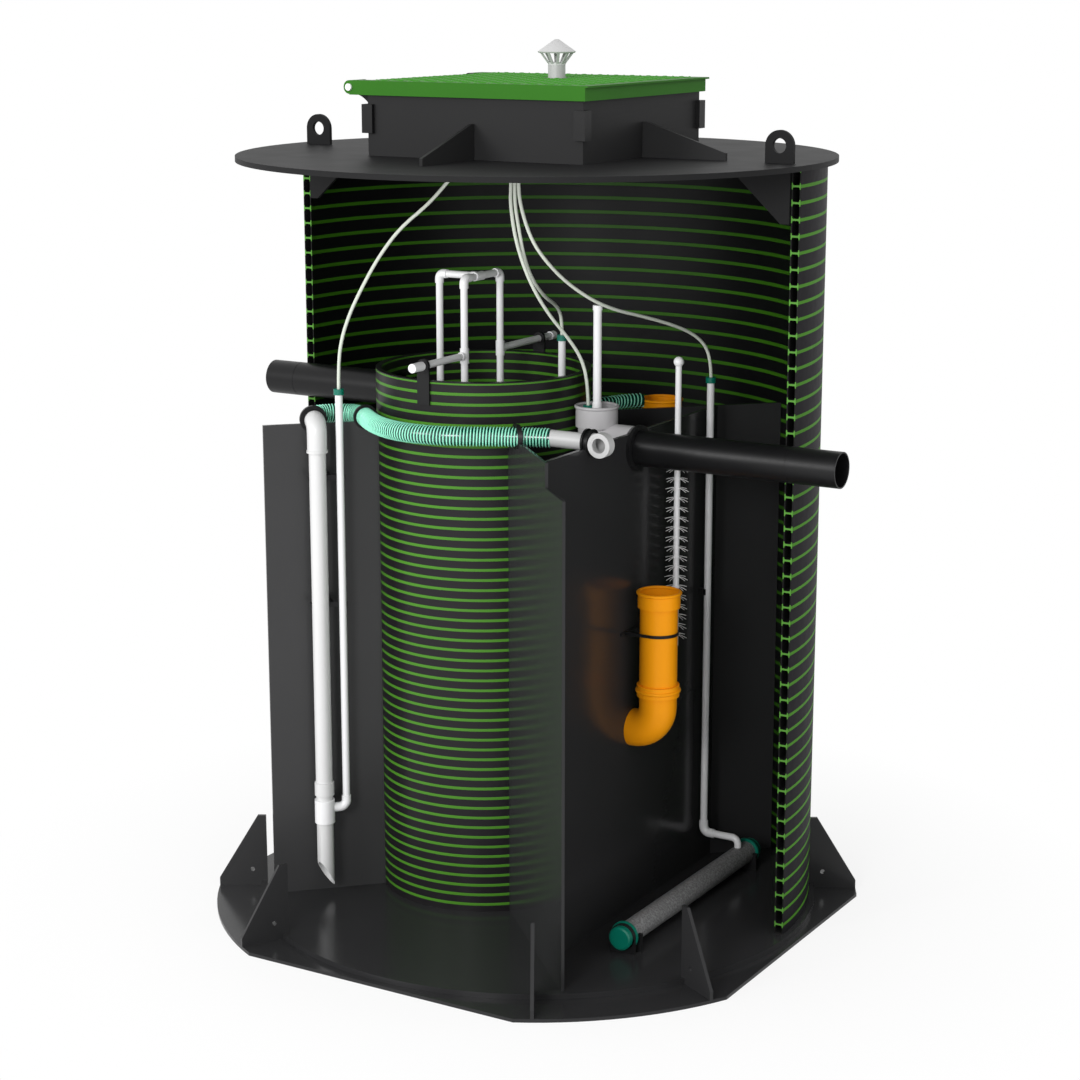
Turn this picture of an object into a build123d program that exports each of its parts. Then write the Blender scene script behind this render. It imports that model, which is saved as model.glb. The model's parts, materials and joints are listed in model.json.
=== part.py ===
from build123d import *
import math
import os

# Cutaway of a small packaged sewage treatment plant, in millimetres.
# The origin is on the tank's axis, on the underside of the base plate, with +Z up.
# +X runs from the inlet to the outlet, and the front half of the tank wall (-Y) is cut away.

# Base plate and tank floor
base_corner_r = 973.0
base_half_side = 867.0
base_t = 10.0
floor_edge = 18.2
floor_t = 15.0

# Wound tank wall: hollow box profile, one ring for each turn
tank_r_in = 800.0
tank_wall = 26.8
turn_pitch = 45.113
turn_count = 48
web_t = 7.0
skin_t = 3.0
top_turn_drop = 44.6
wall_segments = 4

# Top plate, hatch neck and its stiffeners
top_plate_r = 857.0
top_plate_z = 2218.0
top_plate_t = 15.0
neck_x0 = -358.0
neck_x1 = 337.0
neck_y0 = -325.0
neck_y1 = 352.0
neck_wall = 12.0
neck_h = 202.7
fin_foot = 259.0
fin_foot_h = 20.0
fin_head = 12.0
fin_rise = 98.0
fin_t = 10.0
corner_guard_leg = 22.0
corner_guard_t = 13.0
corner_guard_h = 80.0
corner_guard_z = 2296.0

# Lid and its hinge
lid_seat_gap = 0.3
lid_t = 5.0
lid_skirt_h = 35.0
lid_skirt_t = 5.0
lid_gap = 8.0
lid_lip = 8.0
hinge_x = -412.0
hinge_z = 2422.0
barrel_r = 19.0
pin_r = 7.0
pin_fit = 0.08
ear_t = 22.0
ear_inset = 52.0
ear_clear = 6.0
ear_drop = 100.0
ear_curve_r = 81.0
ear_foot_t = 6.0
pin_head_r = 10.0
pin_head_t = 6.0

# Vent cowl on the lid
vent_x = 17.0
vent_y = 82.0
vent_r = 25.0
vent_wall = 3.0
vent_stub_h = 37.0
cowl_r = 55.0
cowl_z = 72.0
cowl_h = 37.0
cowl_ribs = 16
cowl_rib_t = 4.0

# Lifting lugs
lug_reach = 763.0
lug_inset = 94.0
lug_w = 84.0
lug_t = 12.0
lug_hole_r = 20.0
lug_eye_z = 2280.0
lug_foot_z = 2070.0
lug_toe_w = 34.0
lug_arm = 195.0
lug_step = 8.0

# Anchor fins round the base
anchor_angles = (30, 60, 120, 150, 210, 240, 300, 330)
anchor_t = 10.0
anchor_top_z = 235.0
anchor_top_w = 25.0
anchor_reach = 146.2
anchor_toe_h = 24.0
anchor_hole_r = 7.0
anchor_hole_x = 45.0
anchor_hole_z = 52.0

# Partitions
plate_t = 12.0
partition_top = 1460.0
partition_offset = 148.5
settling_x = 340.0
step_top = 1393.0

# Inner wound column
column_x = -170.0
column_y = -22.0
column_r = 317.0
column_wall = 17.0
column_top = 1610.0

# Inlet and outlet drains
drain_y = -22.0
drain_r = 51.0
drain_wall = 4.0
inlet_reach = 933.0
outlet_reach = 980.0
spigot_gap = 3.0
spigot_groove_w = 3.0
spigot_groove_d = 0.6
inlet_z = 1515.0
outlet_z = 1414.0
seal_r = 60.0
seal_t = 14.0
collar_r = 66.0
collar_t = 10.0
fit_gap = 0.3

# Outlet tee with its open socket, and the sampling rod in it
cup_x = 213.0
cup_r = 54.0
cup_wall = 3.5
cup_socket_r = 61.0
cup_socket_h = 62.0
cup_top = 1527.0
cup_foot = 1180.0
rod_r = 12.0
rod_top = 1814.0
rod_dx = 1.0
rod_cap_h = 14.0

# Aeration risers in the column
riser_r = 10.5
riser_wall = 2.0
riser_fit_r = 13.0
riser_fit_h = 44.0
riser_branch_r = 12.5
riser_bend = 24.0
riser_leg = 28.0
riser_x = -170.0
riser_mid_y = -126.0
riser_back_y = 71.0
riser_tee_y = -48.0
riser_left_x = -305.0
riser_top = 1876.0
riser_foot = 900.0
arm_mid_z = 1652.0
arm_back_z = 1650.0
arm_front_y = -400.0
arm_back_y = 385.0
arm_end_h = 50.0
bracket_w = 40.0
bracket_t = 6.0
bracket_drop = 70.0

# Airlift pump beside the main partition
airlift_off = 62.0
airlift_along = -644.0
airlift_r = 25.0
airlift_wall = 3.0
airlift_foot_low = 64.0
airlift_foot_high = 132.0
airlift_tee_z = 294.5
airlift_arm_z = 303.0
airlift_arm_rise = 34.0
airlift_tee_r = 30.0
airlift_tee_h = 71.4
airlift_socket_z = 365.0
airlift_socket_h = 40.0
airlift_bead_z = 1388.5
airlift_bead_h = 7.0
airlift_bend = 34.0
pump_collar_w = 15.0
hose_collar_w = 7.4
airlift_pitch = 66.0
airlift_clip_z = (929.0, 1309.0)

# Sludge hose and its discharge pipe through the settling partition
hose_r = 28.5
hose_z = 1472.0
hose_hole_along = -490.0
discharge_y = -284.0
discharge_x0 = 214.0
discharge_r = 24.0
discharge_wall = 3.0
mouth_y = -319.0
mouth_r = 27.0
grommet_r = 38.0
ring_gap = 0.8
hose_stub = 16.0
hose_back = 84.0
hose_front = 125.0
discharge_out = 46.0
discharge_bend = 30.0

# Orange return pipe on the settling partition, and the one behind the main partition
return_r = 55.0
return_wall = 3.5
return_x = 428.0
return_y = -33.0
return_top = 1006.0
return_ring_z = 694.0
return_ring_h = 34.0
return_axis_z = 585.0
return_socket_r = 62.0
return_socket_h = 47.0
return_bend = 75.0
strap_z = 882.0
strap_w = 24.0
strap_t = 3.0
rear_x = 178.0
rear_y = 442.0
rear_top = 1476.0
rear_foot = 520.0
rear_hose_r = 22.0
rear_strap_z = 1180.0

# Diffuser on the tank floor with its air tube
diffuser_x = 492.0
diffuser_y0 = -357.0
diffuser_y1 = 466.0
diffuser_z = 72.0
diffuser_r = 33.0
diffuser_cap_r = 44.0
diffuser_cap_t = 22.0
saddle_w = 90.0
saddle_t = 10.0
air_tube_r = 11.0
air_tube_wall = 2.0
air_tube_x = 373.0
air_tube_y = 385.0
air_tube_top = 1555.0
air_elbow_z = 134.0
tube_bracket_z = 905.0
clip_reach = 40.0

# Carrier brush hanging in the aeration zone
brush_x = 396.0
brush_y = 132.0
brush_top = 1660.0
brush_foot = 800.0
brush_stem_r = 9.0
brush_ball_r = 15.0
brush_clip_z = (1365.0, 812.0)
bristle_r = 38.0
bristle_z0 = 826.0
bristle_z1 = 1335.0

# Air tubes and hoses
hose_air_r = 5.0
clip_r = 15.0
clip_h = 17.0
pump_tube_top = 1560.0
cup_tube_x = 182.0
cup_tube_y = -17.0
cup_tube_top = 1514.0
cup_tube_foot = 1260.0
column_tube_x = 20.0
column_tube_y = 110.0
column_tube_top = 1690.0
manifold_y = -285.0
manifold_z = 2330.0
manifold_r = 16.0
manifold_x0 = -150.0
manifold_x1 = 150.0

# Routes chosen by hand: the sludge hose round the column, the hose behind, and the four air hoses
sludge_bends = [(-200.0, -425.0), (-60.0, -415.0), (95.0, -325.0)]
rear_route = [(32.6, 222.7), (71.0, 268.0), (94.0, 345.0), (137.3, 395.0)]
pump_hose = [(-55, -285, 2262), (-57, -285, 2232), (-117, -286, 2169), (-172, -301, 2105), (-255, -325, 2035),
             (-315, -342, 1955), (-362, -356, 1872), (-405, -368, 1785), (-432, -376, 1700), (-439, -378, 1620)]
cup_hose = [(88, -285, 2262), (88, -285, 2172), (82, -282, 2114), (91, -264, 2000), (111, -218, 1884),
            (130, -146, 1790), (152, -80, 1722), (173, -36, 1655), (181, -18, 1580)]
column_hose = [(99, -285, 2262), (99, -285, 2172), (96, -279, 2114), (99, -264, 2045), (97, -232, 1960),
               (80, -158, 1890), (55, -50, 1830), (34, 45, 1797), (22, 95, 1768), (20, 110, 1728)]
zone_hose = [(110, -285, 2262), (110, -285, 2173), (113, -280, 2114), (133, -262, 2026), (157, -225, 1960),
             (185, -134, 1880), (244, -30, 1809), (287, 154, 1762), (337, 288, 1716), (364, 360, 1668),
             (373, 385, 1605)]

# Heights that follow
plate_z = base_t
floor_z = base_t + floor_t
wall_z0 = floor_z
wall_z1 = top_plate_z
neck_z0 = top_plate_z + top_plate_t
neck_z1 = neck_z0 + neck_h
tank_r = tank_r_in + tank_wall
floor_r = tank_r + floor_edge
anchor_toe_r = tank_r + anchor_reach
lug_x = min(lug_reach, top_plate_r - lug_inset)
spigot_x = tank_r + spigot_gap
lid_z0 = neck_z1 + lid_seat_gap
lid_z1 = lid_z0 + lid_t
lid_x1 = neck_x1 + lid_gap + lid_skirt_t
lid_y0 = neck_y0 - lid_gap - lid_skirt_t
lid_y1 = neck_y1 + lid_gap + lid_skirt_t
r2 = math.sqrt(0.5)

os.makedirs("parts", exist_ok=True)


def save(name, *solids):
    shapes = []
    for solid in solids:
        shapes += solid.solids()
    whole = shapes[0] if len(shapes) == 1 else Compound(children=shapes)
    export_step(whole, "parts/" + name + ".step")


def block(x0, x1, y0, y1, z0, z1):
    middle = Pos((x0 + x1) / 2, (y0 + y1) / 2, (z0 + z1) / 2)
    return middle * Box(x1 - x0, y1 - y0, z1 - z0)


def rod(a, b, r):
    a = Vector(*a)
    b = Vector(*b)
    along = b - a
    plane = Plane(origin=a, z_dir=along.normalized())
    return plane * Cylinder(r, along.length, align=(Align.CENTER, Align.CENTER, Align.MIN))


def tube(a, b, r, wall):
    return rod(a, b, r) - rod(a, b, r - wall)


def run(points, r, bends):
    path = FilletPolyline(*[Vector(*p) for p in points], radius=bends)
    start = Plane(origin=path @ 0, z_dir=path % 0)
    return sweep(start * Circle(r), path=path)


def radial_plate(outline, angle, thickness):
    plane = Plane(origin=(0, 0, 0), x_dir=(math.cos(math.radians(angle)), math.sin(math.radians(angle)), 0),
                  z_dir=(math.sin(math.radians(angle)), -math.cos(math.radians(angle)), 0))
    face = make_face(Polyline(*outline, close=True))
    return extrude(plane * face, thickness / 2, both=True)


def upright(outline, origin, angle, thickness):
    plane = Plane(origin=origin, x_dir=(math.cos(math.radians(angle)), math.sin(math.radians(angle)), 0),
                  z_dir=(math.sin(math.radians(angle)), -math.cos(math.radians(angle)), 0))
    face = make_face(Polyline(*outline, close=True))
    return extrude(plane * face, thickness / 2, both=True)


def base():
    plate = Pos(0, 0, base_t / 2) * Cylinder(base_corner_r, base_t)
    plate &= Pos(0, 0, base_t / 2) * Box(2 * base_half_side, 2 * base_half_side, base_t)
    save("base_plate", plate)
    save("tank_floor", Pos(0, 0, plate_z + floor_t / 2) * Cylinder(floor_r, floor_t))


def wall():
    profile = Rectangle(tank_wall, wall_z1 - wall_z0, align=(Align.MIN, Align.MIN))
    profile = Pos(tank_r_in, wall_z0) * profile
    first_web = wall_z1 - top_turn_drop
    cell_w = tank_wall - 2 * skin_t
    for turn in range(turn_count + 1):
        top = min(first_web - (turn - 1) * turn_pitch - web_t / 2, wall_z1 - skin_t)
        low = max(first_web - turn * turn_pitch + web_t / 2, wall_z0 + skin_t)
        if top - low > web_t:
            cell = Pos(tank_r_in + skin_t, low) * Rectangle(cell_w, top - low, align=(Align.MIN, Align.MIN))
            profile -= cell
    step = 180.0 / wall_segments
    bore = drain_line(-inlet_reach, 0, inlet_z, drain_r)
    bore_out = drain_line(0, outlet_reach, outlet_z, drain_r)
    for number in range(wall_segments):
        piece = revolve(Plane.XZ * profile, axis=Axis.Z, revolution_arc=step)
        piece = Rot(0, 0, number * step) * piece
        if number == 0:
            piece -= bore_out
        if number == wall_segments - 1:
            piece -= bore
        save("wall_segment_" + str(number + 1), piece)


def top():
    plate = Pos(0, 0, top_plate_z + top_plate_t / 2) * Cylinder(top_plate_r, top_plate_t)
    plate -= block(neck_x0 + neck_wall, neck_x1 - neck_wall, neck_y0 + neck_wall, neck_y1 - neck_wall,
                   top_plate_z - 1, top_plate_z + top_plate_t + 1)
    for side in (-1, 1):
        plate -= block(side * lug_x - lug_w / 2, side * lug_x + lug_w / 2, -lug_t / 2, lug_t / 2,
                       top_plate_z - 1, top_plate_z + top_plate_t + 1)
    save("top_plate", plate)


def neck():
    shell = block(neck_x0, neck_x1, neck_y0, neck_y1, neck_z0, neck_z1)
    shell -= block(neck_x0 + neck_wall, neck_x1 - neck_wall, neck_y0 + neck_wall, neck_y1 - neck_wall,
                   neck_z0, neck_z1)
    save("hatch_neck", shell)
    outline = [(0, neck_z0), (fin_foot, neck_z0), (fin_foot, neck_z0 + fin_foot_h), (fin_head, neck_z0 + fin_rise),
               (0, neck_z0 + fin_rise)]
    mid_x = (neck_x0 + neck_x1) / 2
    mid_y = (neck_y0 + neck_y1) / 2
    fins = [upright(outline, (mid_x, neck_y0, 0), -90, fin_t), upright(outline, (neck_x1, mid_y, 0), 0, fin_t),
            upright(outline, (mid_x, neck_y1, 0), 90, fin_t), upright(outline, (neck_x0, mid_y, 0), 180, fin_t)]
    save("neck_fins", *fins)
    guards = []
    for x, sx in ((neck_x0, 1), (neck_x1, -1)):
        for y, sy in ((neck_y0, 1), (neck_y1, -1)):
            xs = sorted((x - sx * corner_guard_t, x + sx * corner_guard_leg))
            ys = sorted((y - sy * corner_guard_t, y + sy * corner_guard_leg))
            angle = block(xs[0], xs[1], ys[0], ys[1], corner_guard_z, corner_guard_z + corner_guard_h)
            inner_x = sorted((x, x + sx * 2 * corner_guard_leg))
            inner_y = sorted((y, y + sy * 2 * corner_guard_leg))
            angle -= block(inner_x[0], inner_x[1], inner_y[0], inner_y[1], corner_guard_z,
                           corner_guard_z + corner_guard_h)
            guards.append(angle)
    save("corner_guards", *guards)


def ear_places():
    first = neck_y0 + ear_inset
    last = neck_y1 - ear_inset
    return (first, last)


def hinge():
    ears = []
    for y in ear_places():
        ear = rod((hinge_x, y - ear_t / 2, hinge_z), (hinge_x, y + ear_t / 2, hinge_z), barrel_r)
        arm = [(hinge_x - barrel_r, hinge_z), (hinge_x + barrel_r, hinge_z), (neck_x0, hinge_z - barrel_r),
               (neck_x0, hinge_z - ear_drop), (hinge_x - barrel_r, hinge_z - ear_drop)]
        hollow = Pos(neck_x0 - ear_foot_t - ear_curve_r, hinge_z - ear_drop) * Circle(ear_curve_r)
        face = make_face(Polyline(*arm, close=True)) - hollow
        plate = extrude(Plane(origin=(0, y, 0), x_dir=(1, 0, 0), z_dir=(0, -1, 0)) * face, ear_t / 2, both=True)
        ear = ear + plate
        ear -= rod((hinge_x, y - ear_t, hinge_z), (hinge_x, y + ear_t, hinge_z), pin_r + pin_fit)
        ears.append(ear)
    save("hinge_ears", *ears)


def lid():
    cover = block(neck_x0 - lid_gap, lid_x1, lid_y0, lid_y1, lid_z0, lid_z1)
    lip = block(neck_x0, lid_x1 + lid_lip, lid_y0, lid_y1 + lid_lip, lid_z0, lid_z1)
    skirt = block(neck_x0, lid_x1, lid_y0, lid_y1, lid_z0 - lid_skirt_h, lid_z0)
    skirt -= block(neck_x0 - 1, lid_x1 - lid_skirt_t, lid_y0 + lid_skirt_t, lid_y1 - lid_skirt_t,
                   lid_z0 - lid_skirt_h - 1, lid_z0)
    body = cover + lip + skirt
    for y0, y1 in ((lid_y0, ear_places()[0] - ear_t / 2 - ear_clear),
                   (ear_places()[1] + ear_t / 2 + ear_clear, lid_y1)):
        barrel = rod((hinge_x, y0, hinge_z), (hinge_x, y1, hinge_z), barrel_r)
        arm = block(hinge_x, neck_x0 - lid_gap, y0, y1, lid_z1 - 14, lid_z1)
        body = body + barrel + arm
    for y0, y1 in ((lid_y0, lid_y0 + lid_skirt_t), (lid_y1 - lid_skirt_t, lid_y1)):
        body = body + block(hinge_x, neck_x0 + 1, y0, y1, lid_z0 - lid_skirt_h, lid_z0)
    for y in ear_places():
        body -= block(hinge_x - barrel_r - ear_clear, hinge_x + barrel_r + ear_clear, y - ear_t / 2 - ear_clear,
                      y + ear_t / 2 + ear_clear, lid_z0 - lid_skirt_h - 10, lid_z1 + 10)
    body -= rod((hinge_x, lid_y0 - 1, hinge_z), (hinge_x, lid_y1 + 1, hinge_z), pin_r + fit_gap / 3)
    body -= rod((vent_x, vent_y, lid_z0 - 1), (vent_x, vent_y, lid_z1 + 1), vent_r - vent_wall)
    save("hatch_lid", body)
    pin = rod((hinge_x, lid_y0 - 0.3, hinge_z), (hinge_x, lid_y1 + 0.3, hinge_z), pin_r)
    heads = [rod((hinge_x, lid_y0 - 0.3 - pin_head_t, hinge_z), (hinge_x, lid_y0 - 0.3, hinge_z), pin_head_r),
             rod((hinge_x, lid_y1 + 0.3, hinge_z), (hinge_x, lid_y1 + 0.3 + pin_head_t, hinge_z), pin_head_r)]
    save("hinge_pin", pin + heads[0] + heads[1])


def vent():
    z = lid_z1
    stub = tube((vent_x, vent_y, z), (vent_x, vent_y, z + vent_stub_h), vent_r, vent_wall)
    save("vent_pipe", stub)
    top_z = z + cowl_z
    cone = Pos(vent_x, vent_y, top_z + cowl_h / 2) * Cone(cowl_r, 6, cowl_h)
    foot = tube((vent_x, vent_y, z + vent_stub_h), (vent_x, vent_y, z + vent_stub_h + 8), vent_r, vent_wall)
    cowl = cone + foot
    for rib in range(cowl_ribs):
        angle = rib * 360.0 / cowl_ribs
        c = math.cos(math.radians(angle))
        s = math.sin(math.radians(angle))
        low = (vent_x + (vent_r - vent_wall / 2) * c, vent_y + (vent_r - vent_wall / 2) * s, z + vent_stub_h + 4)
        high = (vent_x + (cowl_r - 6) * c, vent_y + (cowl_r - 6) * s, top_z + 2)
        cowl = cowl + rod(low, high, cowl_rib_t / 2)
    save("vent_cowl", cowl)


def lugs():
    for name, side in (("left", -1), ("right", 1)):
        outer = side * (lug_x + lug_w / 2)
        inner = side * (lug_x - lug_w / 2)
        step = outer - side * lug_step
        outline = [(outer, lug_eye_z), (inner, lug_eye_z), (inner, top_plate_z), (outer - side * lug_arm, top_plate_z),
                   (outer - side * lug_toe_w, lug_foot_z), (step, lug_foot_z), (step, top_plate_z),
                   (outer, top_plate_z)]
        face = make_face(Polyline(*outline, close=True)) + Pos(side * lug_x, lug_eye_z) * Circle(lug_w / 2)
        face -= Pos(side * lug_x, lug_eye_z) * Circle(lug_hole_r)
        save("lifting_lug_" + name, extrude(Plane.XZ * face, lug_t / 2, both=True))


def anchors():
    fins = []
    inner = tank_r
    outline = [(inner, floor_z), (inner, anchor_top_z), (inner + anchor_top_w, anchor_top_z),
               (anchor_toe_r, base_t + anchor_toe_h), (anchor_toe_r, base_t), (floor_r, base_t),
               (floor_r, floor_z)]
    for angle in anchor_angles:
        fin = radial_plate(outline, angle, anchor_t)
        a = math.radians(angle)
        r = inner + anchor_hole_x
        side = Vector(-math.sin(a), math.cos(a), 0) * anchor_t
        centre = Vector(r * math.cos(a), r * math.sin(a), base_t + anchor_hole_z)
        fin -= rod(tuple(centre - side), tuple(centre + side), anchor_hole_r)
        fins.append(fin)
    save("anchor_fins", *fins)


def drain_line(x0, x1, z, r):
    return rod((x0, drain_y, z), (x1, drain_y, z), r)


def spigot_groove(x0, z):
    x1 = x0 + spigot_groove_w
    return drain_line(x0, x1, z, drain_r + 1) - drain_line(x0, x1, z, drain_r - spigot_groove_d)


def drains():
    column_hit = math.sqrt(column_r ** 2 - (drain_y - column_y) ** 2)
    face = column_x - column_hit
    inlet = drain_line(-inlet_reach, face + column_wall, inlet_z, drain_r)
    inlet -= drain_line(-inlet_reach, face + column_wall, inlet_z, drain_r - drain_wall)
    save("inlet_pipe", inlet - spigot_groove(-spigot_x - spigot_groove_w, inlet_z))
    seal = drain_line(face - seal_t, face + seal_t, inlet_z, seal_r)
    seal -= drain_line(face - seal_t, face + seal_t, inlet_z, drain_r + fit_gap)
    seal -= rod((column_x, column_y, 0), (column_x, column_y, column_top + 10), column_r)
    save("inlet_seal", seal)
    near = settling_x - plate_t / 2
    far = settling_x + plate_t / 2
    outlet = drain_line(near, outlet_reach, outlet_z, drain_r)
    outlet -= drain_line(near, outlet_reach, outlet_z, drain_r - drain_wall)
    save("outlet_pipe", outlet - spigot_groove(spigot_x, outlet_z))
    save("outlet_collar", drain_line(far, far + collar_t, outlet_z, collar_r)
         - drain_line(far, far + collar_t, outlet_z, drain_r + fit_gap))


def outlet_tee():
    y = drain_y
    near = settling_x - plate_t / 2
    neck_z = cup_top - cup_socket_h
    tee = rod((cup_x, y, cup_foot), (cup_x, y, neck_z), cup_r)
    tee += rod((cup_x, y, neck_z), (cup_x, y, cup_top), cup_socket_r)
    tee += drain_line(cup_x, near, outlet_z, cup_socket_r)
    tee -= rod((cup_x, y, cup_foot), (cup_x, y, cup_top), cup_r - cup_wall)
    tee -= rod((cup_x, y, neck_z + cup_wall), (cup_x, y, cup_top), cup_socket_r - cup_wall)
    tee -= drain_line(cup_x, near, outlet_z, drain_r - drain_wall)
    save("outlet_tee", tee)
    x = cup_x + rod_dx
    stick = rod((x, y, cup_foot + 20), (x, y, rod_top), rod_r)
    stick += rod((x, y, rod_top - rod_cap_h), (x, y, rod_top), rod_r + 2)
    stick += rod((x, y, cup_top - 24), (x, y, cup_top + 6), rod_r + 2)
    disc = rod((x, y, cup_foot + 20), (x, y, cup_foot + 26), cup_r - cup_wall - rod_dx - fit_gap)
    save("sampling_rod", stick + disc)


def on_partition(along, off=0.0):
    x = -partition_offset / 2 + (along + off) * r2
    y = partition_offset / 2 + (along - off) * r2
    return (x, y)


def across(along, r, near, far):
    a = on_partition(along, near)
    b = on_partition(along, far)
    return rod((a[0], a[1], hose_z), (b[0], b[1], hose_z), r)


def largest(shape):
    return sorted(shape.solids(), key=lambda solid: solid.volume)[-1]


def partitions():
    low = floor_z
    half = plate_t / 2
    reach = math.sqrt(tank_r_in ** 2 - (partition_offset * r2 + half) ** 2) - fit_gap
    centre = (-partition_offset / 2, partition_offset / 2, 0)
    column_along = (column_x + column_y) * r2
    left_end = column_along - column_r
    right_start = column_along + column_r
    left = upright([(-reach, low), (left_end, low), (left_end, partition_top), (-reach, partition_top)],
                   centre, 45, plate_t)
    right = upright([(right_start, low), (reach, low), (reach, partition_top), (right_start, partition_top)],
                    centre, 45, plate_t)
    rings = []
    for along, r, width in ((airlift_along, airlift_r, pump_collar_w), (hose_hole_along, hose_r, hose_collar_w)):
        left -= across(along, r + width, -2 * plate_t, 2 * plate_t)
        rings.append(across(along, r + width, -half, half) - across(along, r + fit_gap, -plate_t, plate_t))
    core = rod((column_x, column_y, 0), (column_x, column_y, column_top + 10), column_r)
    save("partition_left", largest(left - core))
    save("partition_right", largest(right - core))
    baffle_c = column_x + column_y
    origin = (baffle_c / 2, baffle_c / 2, 0)
    start = (column_x - column_y) * r2 + column_r
    knee = (settling_x - half - origin[0]) / r2
    edge = math.sqrt(tank_r ** 2 - (baffle_c * r2) ** 2)
    outline = [(start, low), (edge, low), (edge, step_top), (knee, step_top), (knee, partition_top),
               (start, partition_top)]
    baffle = upright(outline, origin, -45, plate_t) - core
    a, b = sludge_points()[-2:]
    baffle -= rod(a, b, hose_r + hose_collar_w)
    save("front_baffle", largest(baffle))
    ring = rod(a, b, hose_r + hose_collar_w) - rod(a, b, hose_r + ring_gap)
    ring &= upright([(start, low), (edge, low), (edge, column_top), (start, column_top)], origin, -45, plate_t)
    rings.append(ring)
    save("hose_collars", *rings)
    y_low = baffle_c - settling_x - plate_t
    y_high = settling_x + partition_offset + plate_t
    x0 = settling_x - half
    x1 = settling_x + half
    settling = block(x0, x1, y_low, y_high, low, partition_top)
    settling -= drain_line(x0 - 1, x1 + 1, outlet_z, drain_r)
    settling -= rod((x0 - 1, discharge_y, hose_z), (x1 + 1, discharge_y, hose_z), grommet_r - 6)
    settling -= rod((x0 - 1, return_y, return_axis_z), (x1 + 1, return_y, return_axis_z), return_r)
    settling -= baffle
    settling -= right
    save("settling_partition", largest(settling))


def soft_bends(points):
    radii = []
    for a, b, c in zip(points, points[1:], points[2:]):
        first = Vector(*b) - Vector(*a)
        second = Vector(*c) - Vector(*b)
        turn = math.radians(first.get_angle(second))
        radii.append(0.45 * min(first.length, second.length) / math.tan(turn / 2))
    return radii


def hose(name, points, r):
    bends = soft_bends(points)
    print(name, "bend radii", [round(bend) for bend in bends])
    save(name, run(points, r, bends))


def sludge_points():
    flat = [on_partition(airlift_along, -hose_stub), on_partition(airlift_along, -hose_back),
            on_partition(hose_hole_along, -hose_back), on_partition(hose_hole_along, hose_front)]
    flat += sludge_bends + [(discharge_x0, discharge_y)]
    return [(x, y, hose_z) for x, y in flat]


def sludge_line():
    hose("sludge_hose", sludge_points(), hose_r)
    elbow_x = settling_x + discharge_out
    near = (discharge_x0, discharge_y, hose_z)
    path = [near, (elbow_x, discharge_y, hose_z), (elbow_x, mouth_y, hose_z)]
    body = run(path, discharge_r, discharge_bend)
    face = settling_x + plate_t / 2
    body += run([(face + 4, discharge_y, hose_z), (elbow_x, discharge_y, hose_z), (elbow_x, mouth_y, hose_z)],
                mouth_r, discharge_bend)
    body -= run(path, discharge_r - discharge_wall, discharge_bend)
    save("discharge_pipe", body)
    near_face = settling_x - plate_t / 2
    grommet = rod((near_face - 6, discharge_y, hose_z), (face + 3.5, discharge_y, hose_z), grommet_r)
    hole = block(near_face, face, discharge_y - 2 * grommet_r, discharge_y + 2 * grommet_r,
                 hose_z - 2 * grommet_r, hose_z + 2 * grommet_r)
    hole -= rod((near_face, discharge_y, hose_z), (face, discharge_y, hose_z), grommet_r - 6)
    grommet -= hole
    grommet -= rod((near_face - 7, discharge_y, hose_z), (face + 5, discharge_y, hose_z), discharge_r + fit_gap)
    save("discharge_grommet", grommet)


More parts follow.
